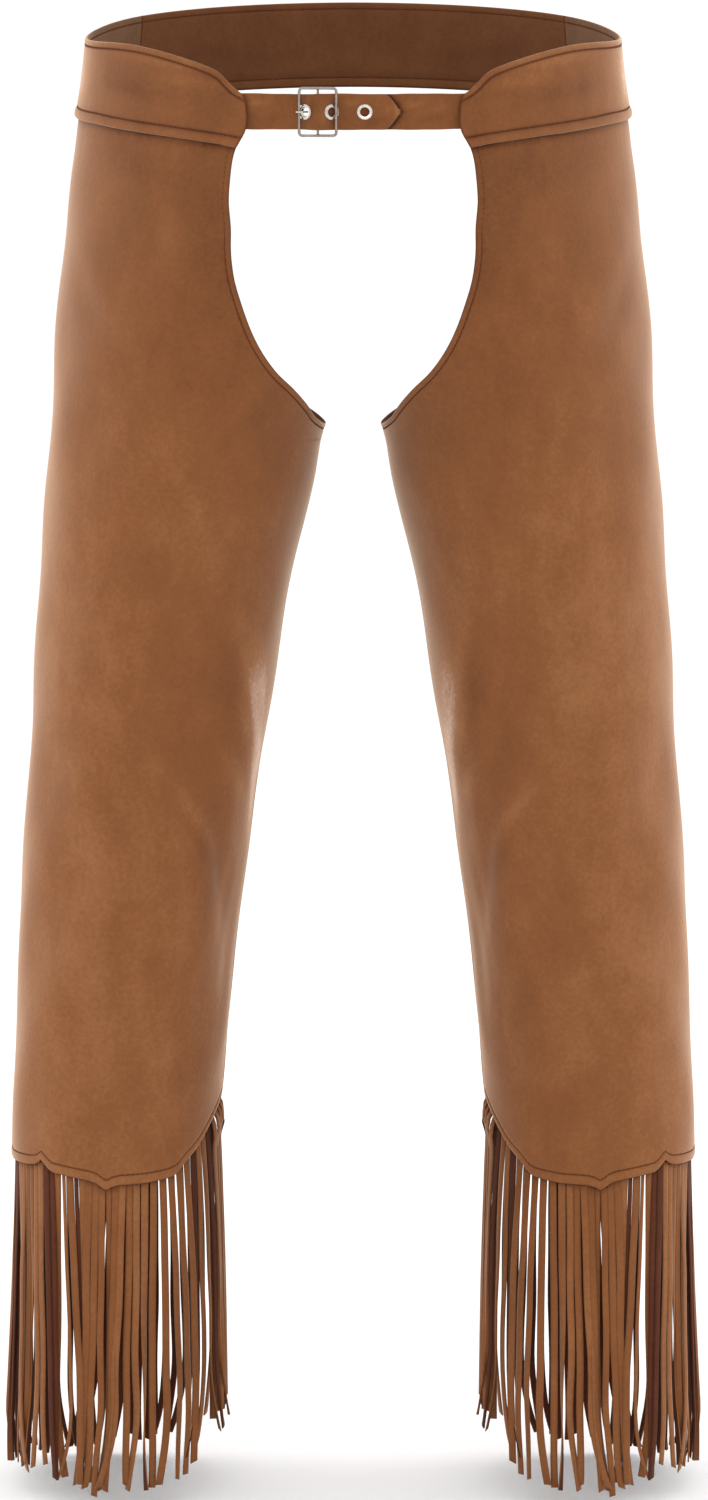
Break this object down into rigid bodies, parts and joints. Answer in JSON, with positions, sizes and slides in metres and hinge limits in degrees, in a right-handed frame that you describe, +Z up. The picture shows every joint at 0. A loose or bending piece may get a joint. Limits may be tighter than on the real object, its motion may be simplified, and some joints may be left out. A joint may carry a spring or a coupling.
{
  "type": "fringed suede chaps",
  "caption": "Open-seat suede chaps in their worn form, with hip yokes, a back waistband, a buckled front belt and strand fringes at the hems",
  "frame": {"origin": "centre of the waist ring, where the garment is held, level with the middle of the waistband at the sides", "axes": "+Z up, from the fringe ends to the waist; -Y the wearer's front; +X the wearer's left"},
  "size_m": [0.4888, 0.2659, 1.025],
  "materials": {
    "suede_back_band": "brown wrong side of faux suede, napped",
    "suede_yoke_left": "tan faux suede, napped",
    "suede_yoke_right": "tan faux suede, napped",
    "suede_leg_left": "tan faux suede, napped",
    "suede_leg_right": "tan faux suede, napped",
    "suede_fringe_left": "tan faux suede, cut in strands",
    "suede_fringe_right": "tan faux suede, cut in strands",
    "suede_tongue": "tan faux suede, folded double",
    "suede_strap": "tan faux suede, folded double",
    "steel_frame": "plated steel wire",
    "steel_prong": "plated steel wire",
    "steel_eyelet": "plated sheet steel"
  },
  "bodies": {
    "root": {"waistband_back": "suede_back_band", "yoke_left": "suede_yoke_left", "yoke_right": "suede_yoke_right", "leg_left": "suede_leg_left", "leg_right": "suede_leg_right", "fringe_left": "suede_fringe_left", "fringe_right": "suede_fringe_right", "belt_tongue": "suede_tongue", "belt_buckle_strap": "suede_strap", "buckle_frame": "steel_frame", "buckle_prong": "steel_prong", "eyelet_1": "steel_eyelet", "eyelet_2": "steel_eyelet", "eyelet_3": "steel_eyelet"}
  },
  "joints": []
}
